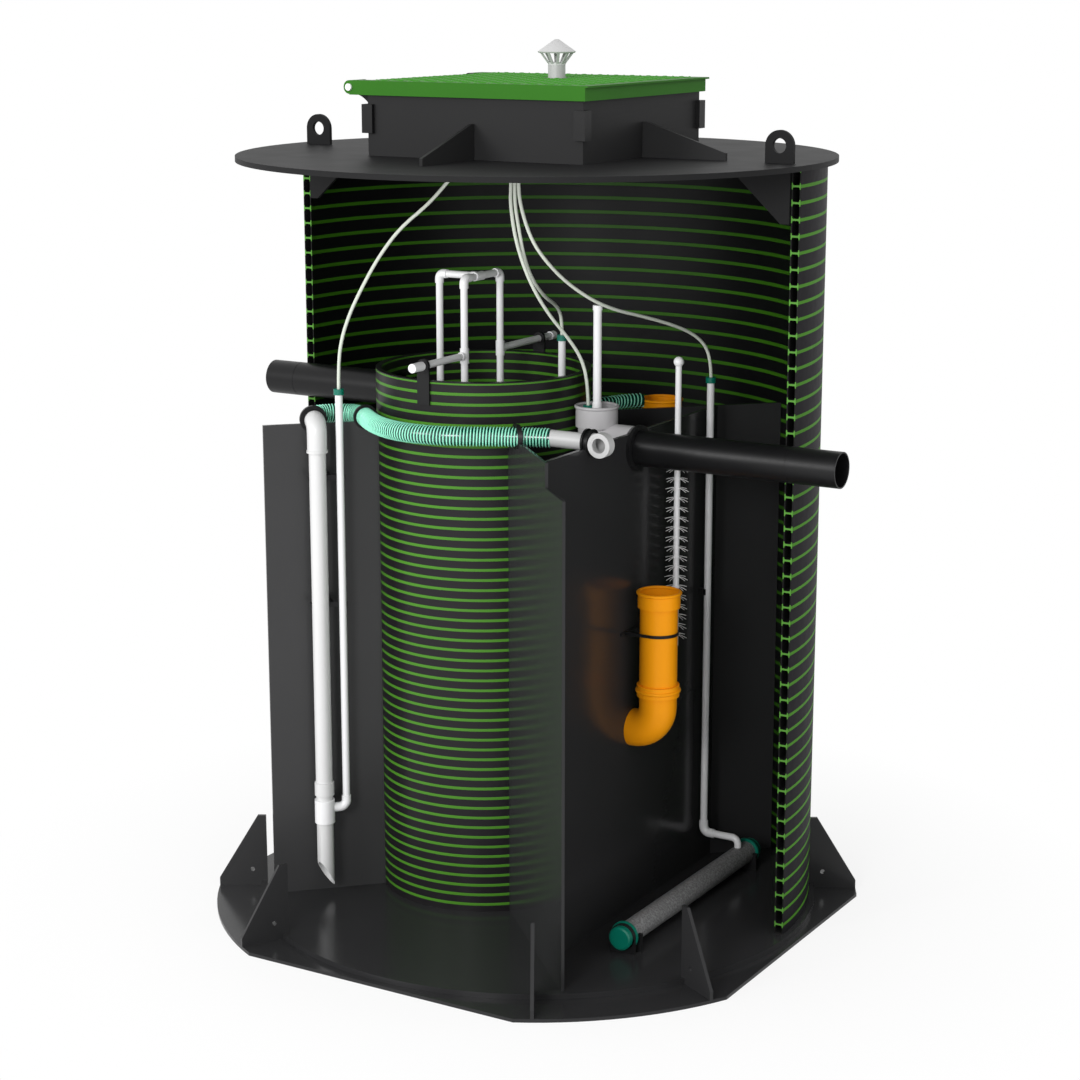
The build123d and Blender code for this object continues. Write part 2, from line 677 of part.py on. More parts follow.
def airlift():
    x, y = on_partition(airlift_along, airlift_off)
    out = on_partition(airlift_along, -hose_stub)
    foot = airlift_foot_low - plate_t
    path = [(x, y, foot), (x, y, hose_z), (out[0], out[1], hose_z)]
    pump = run(path, airlift_r, airlift_bend)
    fit_r = airlift_r + airlift_wall + 1
    pump += rod((x, y, airlift_socket_z - airlift_socket_h / 2), (x, y, airlift_socket_z + airlift_socket_h / 2), fit_r)
    neck_out = on_partition(airlift_along, airlift_off - airlift_bend - plate_t / 2)
    pump += run([(x, y, airlift_bead_z), (x, y, hose_z), (neck_out[0], neck_out[1], hose_z)], fit_r, airlift_bend)
    pump += rod((x, y, airlift_bead_z - airlift_bead_h / 2), (x, y, airlift_bead_z + airlift_bead_h / 2), fit_r + 2)
    pump -= run([(x, y, foot - 1)] + path[1:], airlift_r - airlift_wall, airlift_bend)
    slope = (airlift_foot_high - airlift_foot_low) / 2
    reach = 2 * airlift_r
    wedge = [(-reach, airlift_foot_low - reach), (reach, airlift_foot_low - reach),
             (reach, airlift_foot_low - slope), (-reach, airlift_foot_high + slope)]
    pump -= upright(wedge, (x, y, 0), 45, 2 * reach)
    save("airlift_pipe", pump)
    tee = rod((x, y, airlift_tee_z - airlift_tee_h / 2), (x, y, airlift_tee_z + airlift_tee_h / 2), airlift_tee_r)
    tx, ty = on_partition(airlift_along + airlift_pitch, airlift_off)
    arm_top = airlift_arm_z + airlift_arm_rise
    tee += run([(x, y, airlift_arm_z), (tx, ty, airlift_arm_z), (tx, ty, arm_top)], air_tube_r + 3, 22)
    tee -= rod((x, y, airlift_tee_z - airlift_tee_h), (x, y, airlift_tee_z + airlift_tee_h), airlift_r + fit_gap)
    save("airlift_tee", largest(tee))
    clips = []
    for z in airlift_clip_z:
        clip = rod((x, y, z - 8), (x, y, z + 8), airlift_r + 5) + rod((tx, ty, z - 8), (tx, ty, z + 8), air_tube_r + 4)
        bar = Pos((x + tx) / 2, (y + ty) / 2, z) * Rot(0, 0, 45) * Box(airlift_pitch, 10, 16)
        foot = on_partition(airlift_along + airlift_pitch / 2, airlift_off / 2 + plate_t / 4)
        stem = Pos(foot[0], foot[1], z) * Rot(0, 0, 45) * Box(14, airlift_off - plate_t / 2 - fit_gap, 16)
        clip = clip + bar + stem
        clip -= rod((x, y, z - 20), (x, y, z + 20), airlift_r + fit_gap)
        clip -= rod((tx, ty, z - 20), (tx, ty, z + 20), air_tube_r + fit_gap)
        clip -= Pos(x, y, z) * Rot(0, 0, 45) * Box(3 * airlift_pitch, airlift_off, 40,
                                                  align=(Align.CENTER, Align.MAX, Align.CENTER))
        clips.append(largest(clip))
    save("airlift_clips", *clips)


def riser_corner(a, b, c):
    return run([a, b, c], riser_fit_r, riser_fit_r * 1.2)


def risers():
    x = riser_x
    top_z = riser_top
    mid = [(x, riser_mid_y, riser_foot), (x, riser_mid_y, top_z), (x, riser_back_y, top_z), (x, riser_back_y, riser_foot)]
    frame = run(mid, riser_r, riser_bend)
    left = [(riser_left_x, riser_tee_y, riser_foot), (riser_left_x, riser_tee_y, top_z), (x, riser_tee_y, top_z)]
    frame += run(left, riser_r, riser_bend)
    front = rod((x, riser_mid_y, arm_mid_z), (x, arm_front_y, arm_mid_z), riser_r)
    back = rod((x, riser_back_y, arm_back_z), (x, arm_back_y, arm_back_z), riser_r)
    frame = frame + front + back
    half = riser_fit_h / 2
    fittings = [rod((x, riser_tee_y - half, top_z), (x, riser_tee_y + half, top_z), riser_fit_r),
                rod((x - half, riser_tee_y, top_z), (x, riser_tee_y, top_z), riser_branch_r),
                rod((x, riser_mid_y, arm_mid_z - half), (x, riser_mid_y, arm_mid_z + half), riser_fit_r),
                rod((x, riser_mid_y - half, arm_mid_z), (x, riser_mid_y, arm_mid_z), riser_branch_r),
                rod((x, riser_back_y, arm_back_z - half), (x, riser_back_y, arm_back_z + half), riser_fit_r),
                rod((x, riser_back_y, arm_back_z), (x, riser_back_y + half, arm_back_z), riser_branch_r),
                rod((x, arm_front_y, arm_mid_z), (x, arm_front_y + arm_end_h, arm_mid_z), riser_fit_r),
                rod((x, arm_back_y - 24, arm_back_z), (x, arm_back_y, arm_back_z), riser_fit_r)]
    leg = riser_leg
    fittings += [riser_corner((x, riser_mid_y, top_z - leg), (x, riser_mid_y, top_z), (x, riser_mid_y + leg, top_z)),
                 riser_corner((x, riser_back_y - leg, top_z), (x, riser_back_y, top_z), (x, riser_back_y, top_z - leg)),
                 riser_corner((riser_left_x, riser_tee_y, top_z - leg), (riser_left_x, riser_tee_y, top_z),
                              (riser_left_x + leg, riser_tee_y, top_z))]
    for fitting in fittings:
        frame = frame + fitting
    save("riser_pipework", frame)
    brackets = []
    for side, z in ((-1, arm_mid_z), (1, arm_back_z)):
        face_y = column_y + side * (column_r + fit_gap)
        outer = sorted((face_y, face_y + side * bracket_t))
        plate = block(x - bracket_w / 2, x + bracket_w / 2, outer[0], outer[1], column_top - bracket_drop, z - riser_r)
        ring = rod((x, outer[0] - 2, z), (x, outer[1] + 2, z), riser_r + 9)
        arm = ring + plate
        arm -= rod((x, outer[0] - 10, z), (x, outer[1] + 10, z), riser_r + fit_gap)
        arm -= rod((column_x, column_y, 0), (column_x, column_y, column_top), column_r)
        brackets.append(largest(arm))
    save("rim_brackets", *brackets)


def column():
    profile = Pos(column_r - column_wall, floor_z) * Rectangle(column_wall, column_top - floor_z,
                                                              align=(Align.MIN, Align.MIN))
    shell = Pos(column_x, column_y, 0) * revolve(Plane.XZ * profile, axis=Axis.Z, revolution_arc=360)
    shell -= drain_line(-inlet_reach, column_x, inlet_z, drain_r)
    save("inner_column", shell)


def return_pipe():
    x = return_x
    y = return_y
    inside = settling_x - plate_t / 2 - 30
    path = [(x, y, return_top), (x, y, return_axis_z), (inside, y, return_axis_z)]
    body = run(path, return_r, return_bend)
    body += rod((x, y, return_top - return_socket_h), (x, y, return_top), return_socket_r)
    body += rod((x, y, return_ring_z), (x, y, return_ring_z + return_ring_h), return_socket_r)
    body -= run(path, return_r - return_wall, return_bend)
    body -= rod((x, y, return_top - return_socket_h + return_wall), (x, y, return_top), return_socket_r - return_wall)
    save("return_pipe", body)
    face = settling_x + plate_t / 2
    r_in = return_r + fit_gap
    band = rod((x, y, strap_z - strap_w / 2), (x, y, strap_z + strap_w / 2), r_in + strap_t)
    wing = block(face, face + strap_t, y - r_in - 24, y + r_in + 24, strap_z - strap_w / 2, strap_z + strap_w / 2)
    sides = block(face, x, y - r_in - strap_t, y + r_in + strap_t, strap_z - strap_w / 2, strap_z + strap_w / 2)
    band = band + sides + wing
    band -= rod((x, y, strap_z - strap_w), (x, y, strap_z + strap_w), r_in)
    band -= block(face + strap_t, x, y - r_in, y + r_in, strap_z - strap_w, strap_z + strap_w)
    save("return_strap", largest(band))


def rear_line():
    x = rear_x
    y = rear_y
    pipe_body = rod((x, y, rear_foot), (x, y, rear_top - return_socket_h), return_r)
    pipe_body += rod((x, y, rear_top - return_socket_h), (x, y, rear_top), return_socket_r)
    pipe_body -= rod((x, y, rear_foot), (x, y, rear_top), return_r - return_wall)
    pipe_body -= rod((x, y, rear_top - return_socket_h + return_wall), (x, y, rear_top), return_socket_r - return_wall)
    save("rear_pipe", pipe_body)
    r_in = return_r + fit_gap
    reach = (y - x - partition_offset) * r2 - plate_t / 2
    band = rod((x, y, rear_strap_z), (x, y, rear_strap_z + strap_w), r_in + strap_t)
    arm = Box(reach, strap_w, strap_w, align=(Align.MAX, Align.CENTER, Align.MIN))
    band += Pos(x, y, rear_strap_z) * Rot(0, 0, 135) * arm
    band -= rod((x, y, rear_strap_z), (x, y, rear_strap_z + strap_w), r_in)
    save("rear_strap", band)
    hose("rear_hose", [(px, py, hose_z) for px, py in rear_route], rear_hose_r)


def diffuser():
    x = diffuser_x
    z = diffuser_z
    save("diffuser_tube", tube((x, diffuser_y0 + diffuser_cap_t, z), (x, diffuser_y1 - diffuser_cap_t, z), diffuser_r, 5.0))
    caps = [rod((x, diffuser_y0, z), (x, diffuser_y0 + diffuser_cap_t, z), diffuser_cap_r),
            rod((x, diffuser_y1 - diffuser_cap_t, z), (x, diffuser_y1, z), diffuser_cap_r)]
    save("diffuser_caps", *caps)
    saddles = []
    for y in (diffuser_y0 + diffuser_cap_t + 16, diffuser_y1 - diffuser_cap_t - 16):
        saddle = block(x - saddle_w / 2, x + saddle_w / 2, y - saddle_t / 2, y + saddle_t / 2, floor_z, z + 6)
        saddle -= rod((x, y - saddle_t, z), (x, y + saddle_t, z), diffuser_r + fit_gap)
        saddles.append(saddle)
    save("diffuser_saddles", *saddles)


def zone_tube_clip():
    x = air_tube_x
    y = air_tube_y
    face = settling_x + plate_t / 2
    low = tube_bracket_z - 9
    high = tube_bracket_z + 9
    clip = rod((x, y, low), (x, y, high), air_tube_r + 4) + block(face, x, y - 7, y + 7, low, high)
    clip -= rod((x, y, low - 10), (x, y, high + 10), air_tube_r + fit_gap)
    clip &= block(face, x, y - clip_reach, y + clip_reach, low, high)
    return largest(clip)


def zone_tube():
    x = air_tube_x
    y = air_tube_y
    tee_x = diffuser_x
    path = [(x, y, air_tube_top), (x, y, air_elbow_z), (tee_x, y, air_elbow_z), (tee_x, y, diffuser_z + diffuser_r)]
    body = run(path, air_tube_r, 20.0)
    fit = run([(x, y, air_elbow_z + 36), (x, y, air_elbow_z), (x + 36, y, air_elbow_z)], air_tube_r + 3, 20.0)
    body = body + fit
    body -= rod((tee_x, y - 40, diffuser_z), (tee_x, y + 40, diffuser_z), diffuser_r + fit_gap)
    save("zone_air_tube", largest(body))


def brush():
    x = brush_x
    y = brush_y
    stem = rod((x, y, brush_foot), (x, y, brush_top - brush_ball_r), brush_stem_r)
    stem = stem + Pos(x, y, brush_top - brush_ball_r) * Sphere(brush_ball_r)
    save("brush_stem", stem)
    save("brush_bristles", tube((x, y, bristle_z0), (x, y, bristle_z1), bristle_r, bristle_r - brush_stem_r))
    face = settling_x + plate_t / 2
    holders = [zone_tube_clip()]
    for z in brush_clip_z:
        clip = rod((x, y, z - 8), (x, y, z + 8), brush_stem_r + 5) + block(face, x, y - 6, y + 6, z - 8, z + 8)
        clip -= rod((x, y, z - 20), (x, y, z + 20), brush_stem_r + fit_gap)
        clip &= block(face, x, y - clip_reach, y + clip_reach, z - 8, z + 8)
        holders.append(largest(clip))
    save("zone_clips", *holders)


def small_tubes():
    x, y = on_partition(airlift_along + airlift_pitch, airlift_off)
    drops = ((x, y, airlift_arm_z + airlift_arm_rise + fit_gap, pump_tube_top),
             (cup_tube_x, cup_tube_y, cup_tube_foot, cup_tube_top), (column_tube_x, column_tube_y, riser_foot, column_tube_top))
    save("air_drop_tubes", *[tube((tx, ty, low), (tx, ty, high), air_tube_r, air_tube_wall)
                             for tx, ty, low, high in drops])
    ends = [(x, y, pump_tube_top), (cup_tube_x, cup_tube_y, cup_tube_top),
            (column_tube_x, column_tube_y, column_tube_top), (air_tube_x, air_tube_y, air_tube_top)]
    clips = []
    for ex, ey, ez in ends:
        low = rod((ex, ey, ez - clip_h / 2), (ex, ey, ez + clip_h / 2), clip_r)
        low -= rod((ex, ey, ez - clip_h), (ex, ey, ez), air_tube_r + fit_gap)
        low -= rod((ex, ey, ez - clip_h), (ex, ey, ez + clip_h), hose_air_r + fit_gap)
        clips.append(low)
    save("hose_clips", *clips)
    routes = (("air_hose_pump", pump_hose), ("air_hose_cup", cup_hose), ("air_hose_column", column_hose),
              ("air_hose_zone", zone_hose))
    for (name, middle), end in zip(routes, ends):
        points = [(px, py, pz) for px, py, pz in middle] + [(end[0], end[1], end[2])]
        hose(name, points, hose_air_r)
    bar = rod((manifold_x0, manifold_y, manifold_z), (manifold_x1, manifold_y, manifold_z), manifold_r)
    for route in (pump_hose, cup_hose, column_hose, zone_hose):
        x, y, z = route[0]
        bar += rod((x, manifold_y, z), (x, manifold_y, manifold_z), hose_air_r + 3)
    wall_y = neck_y0 + neck_wall
    for x in (manifold_x0 + 25, manifold_x1 - 25):
        bar += block(x - 8, x + 8, wall_y, manifold_y, manifold_z - 10, manifold_z + 10)
    save("air_manifold", bar)


base()
wall()
top()
neck()
hinge()
lid()
vent()
lugs()
anchors()
drains()
outlet_tee()
partitions()
column()
sludge_line()
airlift()
risers()
return_pipe()
rear_line()
diffuser()
zone_tube()
brush()
small_tubes()
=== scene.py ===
# %% [markdown]
# A packaged sewage treatment plant, drawn cut open at the front.
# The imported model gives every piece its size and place, in metres. This script adds what the solids
# leave plain: the rounded cells in the cut wall, ribs on the hoses, the grip pattern on the lid, the
# hairs of the brush, the free air hoses and a finish on every surface.

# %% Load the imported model
import bpy
import bmesh
import json
import math
from mathutils import Matrix, Vector


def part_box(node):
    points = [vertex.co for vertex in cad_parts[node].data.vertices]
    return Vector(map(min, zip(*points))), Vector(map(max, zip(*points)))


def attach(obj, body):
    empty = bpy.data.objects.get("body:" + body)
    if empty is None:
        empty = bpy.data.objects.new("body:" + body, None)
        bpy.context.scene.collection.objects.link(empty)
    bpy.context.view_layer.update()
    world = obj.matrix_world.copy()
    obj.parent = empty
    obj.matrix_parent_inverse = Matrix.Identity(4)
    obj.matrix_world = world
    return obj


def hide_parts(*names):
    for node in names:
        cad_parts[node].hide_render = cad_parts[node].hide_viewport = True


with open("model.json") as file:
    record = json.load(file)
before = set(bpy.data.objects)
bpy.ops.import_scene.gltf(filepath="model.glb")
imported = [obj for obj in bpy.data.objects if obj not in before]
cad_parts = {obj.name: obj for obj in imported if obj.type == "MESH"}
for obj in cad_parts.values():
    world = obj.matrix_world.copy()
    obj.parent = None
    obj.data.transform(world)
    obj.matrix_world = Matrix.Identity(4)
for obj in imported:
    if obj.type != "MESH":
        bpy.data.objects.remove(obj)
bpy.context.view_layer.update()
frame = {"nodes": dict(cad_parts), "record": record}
nodes = frame["nodes"]
mm = 0.001

# %% [markdown]
# The camera stands to the right of the front and a little above the hatch. Its place and its long lens
# were worked out from the rim circles and the uprights, so the picture's lines fall where they do in
# the photograph.

# %% Set up the camera
camera_data = bpy.data.cameras.new("camera")
camera_data.lens = 80.07
camera_data.sensor_width = 36.0
camera_data.clip_end = 60.0
camera = bpy.data.objects.new("camera", camera_data)
camera.location = (3.5527, -5.9523, 2.7164)
camera.rotation_euler = (math.radians(90 - 13.14), 0, math.radians(30.76))
bpy.context.scene.collection.objects.link(camera)
bpy.context.scene.camera = camera
bpy.context.scene.view_settings.view_transform = "Standard"


# %% [markdown]
# Sums on shader sockets read badly as chains of nodes. A small class lets them be written as Python:
# each sign adds the Math node that does it. A second class adds any other node to a board of nodes, and
# a third is the board of one material, which also mixes colours, because a Math node would turn a colour
# grey.

# %% A socket that sums can be written with
class Wire:
    def __init__(self, board, socket):
        self.board = board
        self.socket = socket

    def maths(self, operation, *values):
        return self.board.node("ShaderNodeMath", {"operation": operation}, *values)

    def __add__(self, other):
        return self.maths("ADD", self, other)

    def __sub__(self, other):
        return self.maths("SUBTRACT", self, other)

    def __rsub__(self, other):
        return self.maths("SUBTRACT", other, self)

    def __mul__(self, other):
        return self.maths("MULTIPLY", self, other)

    def __truediv__(self, other):
        return self.maths("DIVIDE", self, other)

    def __lt__(self, other):
        return self.maths("LESS_THAN", self, other)

    def __abs__(self):
        return self.maths("ABSOLUTE", self)

    __radd__ = __add__
    __rmul__ = __mul__


# %% A board of nodes
class Board:
    def __init__(self, tree):
        self.tree = tree

    def node(self, kind, settings=None, *values, out=0, at=None, **named):
        made = self.tree.nodes.new(kind)
        for key, value in (settings or {}).items():
            setattr(made, key, value)
        for socket, value in (*enumerate(values), *(at or {}).items(), *named.items()):
            if isinstance(value, Wire):
                self.tree.links.new(value.socket, made.inputs[socket])
            else:
                made.inputs[socket].default_value = value
        return Wire(self, made.outputs[out])


# %% A material and its board
class Finish(Board):
    def __init__(self, name, color, rough, **sockets):
        self.material = bpy.data.materials.new(name)
        self.material.use_nodes = True
        super().__init__(self.material.node_tree)
        self.shader = self.tree.nodes["Principled BSDF"]
        self.shader.inputs["Base Color"].default_value = (*color, 1.0)
        self.shader.inputs["Roughness"].default_value = rough
        for socket, value in sockets.items():
            self.shader.inputs[socket.replace("_", " ")].default_value = value
        self.place = self.node("ShaderNodeTexCoord", out="Object")

    def height(self):
        return self.node("ShaderNodeSeparateXYZ", None, self.place, out="Z")

    def noise(self, scale, detail=3.0, stretch=(1, 1, 1)):
        placed = self.node("ShaderNodeMapping", None, self.place, Scale=stretch)
        return self.node("ShaderNodeTexNoise", None, placed, Scale=scale, Detail=detail)

    def mix(self, mask, low, high):
        low, high = (shade if isinstance(shade, Wire) else (*shade, 1.0) for shade in (low, high))
        return self.node("ShaderNodeMix", {"data_type": "RGBA"}, mask, out=2, at={6: low, 7: high})

    def send(self, socket, wire):
        self.tree.links.new(wire.socket, self.shader.inputs[socket])

    def bump(self, height, depth, strength=1.0):
        bumped = self.node("ShaderNodeBump", None, Strength=strength, Distance=depth, Height=height)
        self.send("Normal", bumped)


# %% [markdown]
# All the plastics have small changes of shade and shine from moulding, extruding and handling. Slow
# noise shifts the colour a little, quicker noise shifts the roughness, and a fine bump breaks up the
# highlights. Sheet gets long faint marks, moulded pieces an even grain.

# %% Finishes for plain plastic
def plastic(name, color, rough, grain=700.0, depth=0.00006, spread=0.12, **sockets):
    finish = Finish(name, color, rough, **sockets)
    slow = finish.noise(3.5, 4.0)
    quick = finish.noise(60.0, 4.0)
    dull = tuple(part * (1 - spread) for part in color)
    bright = tuple(min(1.0, part * (1 + spread)) for part in color)
    finish.send("Base Color", finish.mix(slow, dull, bright))
    finish.send("Roughness", rough - 0.06 + quick * 0.12)
    finish.bump(finish.noise(grain, 2.0), depth)
    return finish.material


def sheet(name, color, rough, **sockets):
    finish = Finish(name, color, rough, **sockets)
    cloud = finish.noise(2.2, 5.0)
    drawn = finish.noise(9.0, 5.0, (1, 1, 14))
    dull = tuple(part * 0.88 for part in color)
    bright = tuple(part * 1.12 for part in color)
    finish.send("Base Color", finish.mix(cloud, dull, bright))
    finish.send("Roughness", rough - 0.05 + drawn * 0.1)
    finish.bump(finish.noise(6.0, 2.0) * 0.8 + drawn * 0.2, 0.0003, 0.3)
    return finish.material


# %% [markdown]
# The tank wall and the column are wound from a black hollow profile with a green web, so each turn
# shows as a green ring. The rings are a pattern of height alone: the distance to the nearest web is
# found from the object's Z, and a little noise keeps the edge from being machine straight. Above a rim
# height there is no ring, so the column's end stays black.

# %% Finish for the wound profile
waver = 1.2 * mm
seam_half = 0.9 * mm
above_all = 10.0


def wound(name, black, green, first, pitch, half, rough=0.3, groove=0.0006, shine=0.2, rim=above_all):
    finish = Finish(name, black, rough, Specular_IOR_Level=shine)
    z = finish.height()
    turn = (z - first) / pitch + 0.5
    away = abs(turn.maths("FRACT", turn) - 0.5) * pitch
    wander = finish.noise(6.0, 3.0) * waver - waver / 2
    ring = ((away + wander) < half) * (z < rim)
    shade = finish.mix(finish.noise(5.0, 4.0), tuple(part * 0.8 for part in green), green)
    finish.send("Base Color", finish.mix(ring, black, shade))
    finish.send("Roughness", rough + finish.noise(40.0, 3.0) * 0.12)
    seam = abs(away - half) < seam_half
    finish.bump(finish.noise(25.0, 3.0) * 0.3 - seam, groove, 0.6)
    return finish.material


# %% Colours of this plant
grey_sheet = (0.026, 0.026, 0.027)
# The black of the tank wall's inside face is a darker copy of the skin's black: painted shade inside the
# tank.
inside_black_painted_shade = (0.003, 0.003, 0.0035)
column_black = (0.011, 0.010, 0.011)
cut_black = (0.01, 0.01, 0.01)
skin_black = (0.010, 0.009, 0.011)
web_green = (0.07, 0.24, 0.02)
# The green of the inside face is a darker copy of the web green: painted shade inside the tank.
inside_green_painted_shade = (0.035, 0.14, 0.006)
# The green of the cut webs is the web green painted lighter, as painted light on the cut face.
cut_green_painted_lit = (0.10, 0.30, 0.045)
lid_green = (0.038, 0.165, 0.018)
# The lozenges' green is the lid green painted lighter, as painted light on their raised tops.
grip_green_painted_lit = (0.055, 0.26, 0.025)

finishes = {
    "dark_sheet": sheet("dark sheet", grey_sheet, 0.2, Specular_IOR_Level=0.2),
    "black_plastic": plastic("black moulding", (0.01, 0.01, 0.0105), 0.4, Specular_IOR_Level=0.2),
    "green_lid": plastic("green moulding", lid_green, 0.45, Specular_IOR_Level=0.04),
    "white_plastic": plastic("white pipe", (0.82, 0.82, 0.83), 0.3, spread=0.03),
    "grey_plastic": plastic("grey pipe", (0.48, 0.47, 0.48), 0.36, spread=0.05),
    "orange_plastic": plastic("orange pipe", (1.0, 0.36, 0.006), 0.38, spread=0.03,
                              Specular_IOR_Level=0.12),
    "teal_plastic": plastic("teal moulding", (0.0, 0.15, 0.10), 0.3),
    "air_hose": plastic("pale air hose", (0.62, 0.66, 0.58), 0.42, spread=0.04),
}
print("finishes", len(finishes))

# %% [markdown]
# The record names a slot for every node, so most nodes take their finish in one loop. The few whose
# finish depends on the place, such as the dark drain pipes, are set afterwards by name. The left
# partition gets a paler copy of the sheet as painted light, and the top plate and its lugs a darker
# copy as painted shade.

# %% Give the nodes their finishes
slots = {part["node"]: part["material_slot"] for part in frame["record"]["subparts"]}


def dress(node, material):
    piece = nodes[node]
    piece.data.materials.clear()
    piece.data.materials.append(material)


for node, slot in slots.items():
    if slot in finishes:
        dress(node, finishes[slot])
# The left partition is the same sheet, painted paler: painted light and reflection on the face turned to
# the light.
dress("partition_left", sheet("sheet with painted light", (0.04, 0.04, 0.041), 0.25, Specular_IOR_Level=0.25))
# The top plate and lifting lugs are the same sheet, painted darker as shade where the lamp lights them.
top_sheet_painted_shade = sheet("top sheet with painted shade", (0.017, 0.017, 0.0175), 0.5, Specular_IOR_Level=0.05)
for node in ("top_plate", "lifting_lug_left", "lifting_lug_right"):
    dress(node, top_sheet_painted_shade)
neck_sheet = sheet("neck sheet", (0.024, 0.024, 0.0245), 0.45, Specular_IOR_Level=0.08)
for node in ("hatch_neck", "neck_fins", "hinge_ears"):
    dress(node, neck_sheet)

# %% [markdown]
# Pieces are made with bmesh operators. One helper turns a finished bmesh into an object that sits at
# the origin, rides on its body and stands for the nodes that it takes over.

# %% Helper that finishes a piece
sharp_angle = math.radians(35)
weld = 0.01 * mm


def finish_piece(name, mesh, materials, body="root", instead_of=(), smooth=True):
    data = bpy.data.meshes.new(name)
    mesh.to_mesh(data)
    mesh.free()
    for material in materials:
        data.materials.append(material)
    if "custom_normal" in data.attributes:
        data.attributes.remove(data.attributes["custom_normal"])
    if smooth:
        data.polygons.foreach_set("use_smooth", [True] * len(data.polygons))
        data.set_sharp_from_angle(angle=sharp_angle)
    piece = bpy.data.objects.new(name, data)
    bpy.context.scene.collection.objects.link(piece)
    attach(piece, body)
    if instead_of:
        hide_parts(*instead_of)
    print(name, "faces", len(data.polygons))
    return piece


# %% [markdown]
# CAD meshes arrive as loose triangles, so a round wall would be shaded in flats. A copy is welded and
# shaded smooth, with sharp edges kept sharp, and stands in for its node. Long thin triangles on big flat
# sheets shade well as they are, so only pieces with round walls, and those that are drawn a little
# differently, are copied.

# %% Smooth copies of the round nodes
def smooth_copy(node, material=None, body="root", reshape=None):
    mesh = bmesh.new()
    mesh.from_mesh(nodes[node].data)
    bmesh.ops.remove_doubles(mesh, verts=mesh.verts, dist=weld)
    if reshape:
        for vert in mesh.verts:
            reshape(vert.co)
    kept = material or nodes[node].data.materials[0]
    return finish_piece(node + ".smooth", mesh, [kept], body, [node])


column_first = 47.8 * mm
column_pitch = 29.97 * mm
column_half = 4.2 * mm
column_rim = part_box("inner_column")[1][2] - 3.0 * mm

pipe_black = plastic("drain pipe", (0.006, 0.006, 0.0065), 0.38, grain=200.0, depth=0.00001, spread=0.08,
                     Specular_IOR_Level=0.25)
pale_grey = plastic("pale grey pipe", (0.55, 0.55, 0.55), 0.36, spread=0.04)
column_finish = wound("column winding", column_black, web_green, column_first, column_pitch, column_half,
                      rim=column_rim)
round_nodes = ("outlet_collar", "outlet_tee", "sampling_rod", "riser_pipework", "hose_clips",
               "airlift_tee", "airlift_clips", "air_drop_tubes", "hose_collars", "discharge_grommet",
               "return_pipe", "rear_pipe", "rear_strap", "zone_air_tube", "zone_clips", "brush_stem",
               "inlet_seal", "rim_brackets", "air_manifold")
for node in round_nodes:
    smooth_copy(node)
for node in ("inlet_pipe", "outlet_pipe"):
    smooth_copy(node, pipe_black)
smooth_copy("inner_column", column_finish)
smooth_copy("discharge_pipe", pale_grey)
for node in ("vent_pipe", "hinge_pin"):
    smooth_copy(node, body="lid")

# %% [markdown]
# Two pieces differ a little from their solids. The strap round the orange pipe is a narrow band, and the
# fin on the far side of the neck is shorter than the others, so each copy is squeezed in one direction.

# %% Narrow strap and short fin
strap_z = 882.0 * mm
strap_share = 0.36
neck_left = -358.0 * mm
fin_share = 0.76


def narrow(place):
    place.z = strap_z + (place.z - strap_z) * strap_share


def shorten(place):
    if place.x < neck_left:
        place.x = neck_left + (place.x - neck_left) * fin_share


smooth_copy("return_strap", reshape=narrow)
smooth_copy("neck_fins", reshape=shorten)

# %% [markdown]
# The airlift pipe's tail is cut at a slant, so that its mouth opens towards the open side of the tank.
# The points below a height are slid along the pipe to lie on the slanted plane.

# %% Slanted tail
airlift_x = -485.8 * mm
airlift_y = -425.0 * mm
tail_top = 200.0 * mm
tail_slope = 0.7
open_x = 0.51
open_y = -0.86


def slant(place):
    if place.z < tail_top:
        place.z += tail_slope * ((place.x - airlift_x) * open_x + (place.y - airlift_y) * open_y)


airlift_grey = plastic("airlift pipe", (0.66, 0.66, 0.66), 0.34, spread=0.04)
smooth_copy("airlift_pipe", airlift_grey, reshape=slant)

# %% [markdown]
# The front baffle is a thin sheet whose upper part ends just past the settling partition, and the
# partition stops behind it. One copy is drawn thinner and longer, the other is cut along the baffle.

# %% Baffle and the sheet behind it
slant_share = math.sqrt(0.5)
baffle_sum = -192.0 * mm
sheet_half = 6.0 * mm
baffle_thin = 0.72
knee_x = 334.0 * mm
knee_reach = 27.0 * mm
knee_z = 1250.0 * mm
knee_near = 2.0 * mm


def draw_baffle(place):
    along = (place.x - place.y) * slant_share
    off = (place.x + place.y - baffle_sum) * slant_share
    knee_along = (2 * knee_x - baffle_sum) * slant_share
    if abs(along - knee_along) < knee_near and place.z > knee_z:
        along += knee_reach
    off = sheet_half - (sheet_half - off) * baffle_thin
    place.x = (along + off) * slant_share + baffle_sum / 2
    place.y = (off - along) * slant_share + baffle_sum / 2


smooth_copy("front_baffle", reshape=draw_baffle)
settling_mesh = bmesh.new()
settling_mesh.from_mesh(nodes["settling_partition"].data)
bmesh.ops.remove_doubles(settling_mesh, verts=settling_mesh.verts, dist=weld)
cut_at = baffle_sum / 2 + sheet_half * slant_share
whole = settling_mesh.verts[:] + settling_mesh.edges[:] + settling_mesh.faces[:]
sliced = bmesh.ops.bisect_plane(settling_mesh, geom=whole, dist=weld, plane_co=(cut_at, cut_at, 0),
                                plane_no=(-1, -1, 0), clear_outer=True)
slice_rim = [item for item in sliced["geom_cut"] if isinstance(item, bmesh.types.BMEdge)]
bmesh.ops.triangle_fill(settling_mesh, edges=slice_rim, use_beauty=True, normal=(-1, -1, 0))
bmesh.ops.recalc_face_normals(settling_mesh, faces=settling_mesh.faces)
finish_piece("settling_sheet", settling_mesh, [finishes["dark_sheet"]],
             instead_of=["settling_partition"])

# %% [markdown]
# Each end of the diffuser has a domed teal cap on a black holder that stands on the floor, and a wider
# teal flange behind it.

